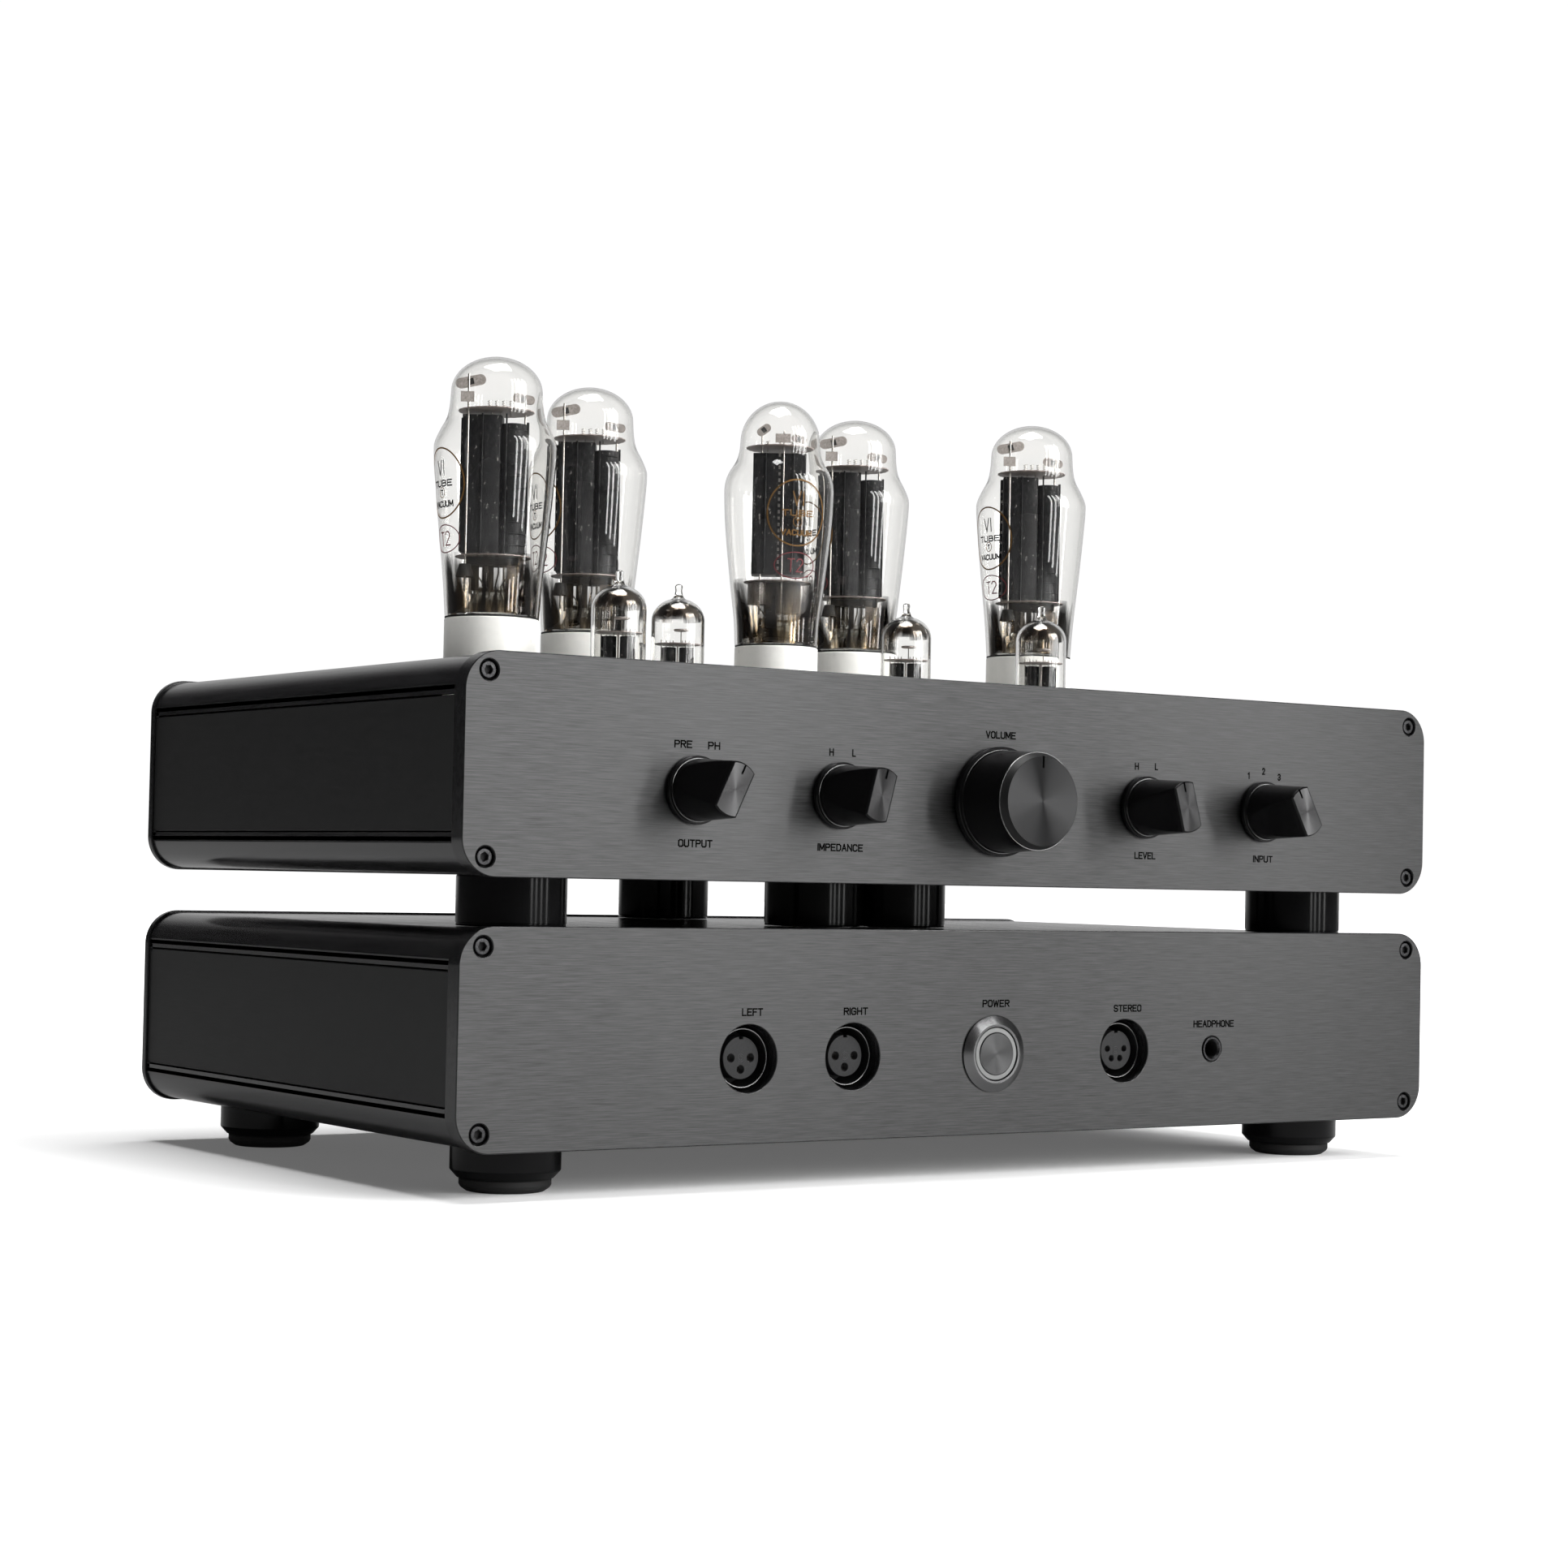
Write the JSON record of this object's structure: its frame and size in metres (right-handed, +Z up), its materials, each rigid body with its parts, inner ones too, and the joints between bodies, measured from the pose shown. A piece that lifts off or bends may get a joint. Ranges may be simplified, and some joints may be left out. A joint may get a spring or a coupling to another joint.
{
  "type": "tube headphone amplifier",
  "caption": "Two-tier vacuum-tube headphone amplifier: a power supply box below, an amplifier box above with glass tubes on its deck, round knobs, balanced sockets and a push power switch.",
  "frame": {"origin": "middle of the object's footprint, knob fronts to rear jacks, on the surface its feet stand on", "axes": "+Z up, the front panels with the knobs and sockets face -Y, +X is to the right seen from the front"},
  "size_m": [0.445, 0.29, 0.3042],
  "materials": {
    "grey_panel": "fine-blasted, dark grey anodised front plates",
    "black_rear_panel": "satin black anodised rear plates",
    "gloss_black_cover": "gloss black anodised deck and base extrusions",
    "satin_black_side": "satin brushed black side panels",
    "black_support": "turned black anodised posts and feet with rubber pads",
    "black_knob": "turned black anodised knobs with spun faces",
    "steel_shaft": "turned steel",
    "circuit_board": "green solder mask",
    "polished_steel": "polished and spun stainless steel",
    "black_moulding": "satin black moulding with bare metal contacts",
    "tube_glass": "clear blown glass",
    "tube_base_ceramic": "cream unglazed ceramic with plated pins",
    "transformer_case": "black lacquered core and can"
  },
  "bodies": {
    "chassis": {"lower_front_plate": "grey_panel", "upper_front_plate": "grey_panel", "lower_rear_plate": "black_rear_panel", "upper_rear_plate": "black_rear_panel", "lower_top_cover": "gloss_black_cover", "lower_base_cover": "gloss_black_cover", "upper_top_cover": "gloss_black_cover", "upper_base_cover": "gloss_black_cover", "lower_side_panel_left": "satin_black_side", "lower_side_panel_right": "satin_black_side", "upper_side_panel_left": "satin_black_side", "upper_side_panel_right": "satin_black_side", "foot_front_left": "black_support", "foot_front_right": "black_support", "foot_rear_left": "black_support", "foot_rear_right": "black_support", "pillar_front_left": "black_support", "pillar_front_right": "black_support", "pillar_rear": "black_support", "conduit_left": "black_support", "conduit_right": "black_support", "control_board": "circuit_board", "supply_board": "circuit_board", "tube_socket_deck": "circuit_board", "power_switch_body": "polished_steel", "xlr_socket_left": "black_moulding", "xlr_socket_right": "black_moulding", "xlr_socket_stereo": "black_moulding", "headphone_jack": "black_moulding", "mains_inlet": "black_moulding", "signal_jack_block": "black_moulding", "power_transformer": "transformer_case", "filter_choke": "transformer_case", "output_transformer_left": "transformer_case", "output_transformer_right": "transformer_case"},
    "output_control": {"output_knob": "black_knob", "output_shaft": "steel_shaft"},
    "impedance_control": {"impedance_knob": "black_knob", "impedance_shaft": "steel_shaft"},
    "volume_control": {"volume_knob": "black_knob", "volume_shaft": "steel_shaft"},
    "level_control": {"level_knob": "black_knob", "level_shaft": "steel_shaft"},
    "input_control": {"input_knob": "black_knob", "input_shaft": "steel_shaft"},
    "power_button": {"power_button": "polished_steel"},
    "power_tube_1": {"power_tube_1_glass": "tube_glass", "power_tube_1_base": "tube_base_ceramic"},
    "power_tube_2": {"power_tube_2_glass": "tube_glass", "power_tube_2_base": "tube_base_ceramic"},
    "power_tube_3": {"power_tube_3_glass": "tube_glass", "power_tube_3_base": "tube_base_ceramic"},
    "power_tube_4": {"power_tube_4_glass": "tube_glass", "power_tube_4_base": "tube_base_ceramic"},
    "rectifier_tube": {"rectifier_glass": "tube_glass", "rectifier_base": "tube_base_ceramic"},
    "driver_tube_1": {"driver_tube_1": "tube_glass"},
    "driver_tube_2": {"driver_tube_2": "tube_glass"},
    "driver_tube_3": {"driver_tube_3": "tube_glass"},
    "driver_tube_4": {"driver_tube_4": "tube_glass"}
  },
  "joints": [
    {"name": "output_turn", "type": "hinge", "parent": "chassis", "child": "output_control", "pos_m": [-0.1326, -0.119, 0.1376], "axis": [0, 1, 0], "range_deg": [-45, 0]},
    {"name": "impedance_turn", "type": "hinge", "parent": "chassis", "child": "impedance_control", "pos_m": [-0.0713, -0.119, 0.1376], "axis": [0, 1, 0], "range_deg": [-30, 0]},
    {"name": "volume_turn", "type": "hinge", "parent": "chassis", "child": "volume_control", "pos_m": [0, -0.119, 0.1376], "axis": [0, 1, 0], "range_deg": [-150, 150]},
    {"name": "level_turn", "type": "hinge", "parent": "chassis", "child": "level_control", "pos_m": [0.0713, -0.119, 0.1376], "axis": [0, 1, 0], "range_deg": [0, 32]},
    {"name": "input_turn", "type": "hinge", "parent": "chassis", "child": "input_control", "pos_m": [0.1326, -0.119, 0.1376], "axis": [0, 1, 0], "range_deg": [0, 60]},
    {"name": "power_press", "type": "slide", "parent": "chassis", "child": "power_button", "axis": [0, 1, 0], "range_m": [0, 0.0025], "stiffness_N_per_m": 800},
    {"name": "power_tube_1_lift", "type": "slide", "parent": "chassis", "child": "power_tube_1", "axis": [0, 0, 1], "range_m": [0, 0.03]},
    {"name": "power_tube_2_lift", "type": "slide", "parent": "chassis", "child": "power_tube_2", "axis": [0, 0, 1], "range_m": [0, 0.03]},
    {"name": "power_tube_3_lift", "type": "slide", "parent": "chassis", "child": "power_tube_3", "axis": [0, 0, 1], "range_m": [0, 0.03]},
    {"name": "power_tube_4_lift", "type": "slide", "parent": "chassis", "child": "power_tube_4", "axis": [0, 0, 1], "range_m": [0, 0.03]},
    {"name": "rectifier_tube_lift", "type": "slide", "parent": "chassis", "child": "rectifier_tube", "axis": [0, 0, 1], "range_m": [0, 0.03]},
    {"name": "driver_tube_1_lift", "type": "slide", "parent": "chassis", "child": "driver_tube_1", "axis": [0, 0, 1], "range_m": [0, 0.022]},
    {"name": "driver_tube_2_lift", "type": "slide", "parent": "chassis", "child": "driver_tube_2", "axis": [0, 0, 1], "range_m": [0, 0.022]},
    {"name": "driver_tube_3_lift", "type": "slide", "parent": "chassis", "child": "driver_tube_3", "axis": [0, 0, 1], "range_m": [0, 0.022]},
    {"name": "driver_tube_4_lift", "type": "slide", "parent": "chassis", "child": "driver_tube_4", "axis": [0, 0, 1], "range_m": [0, 0.022]}
  ]
}
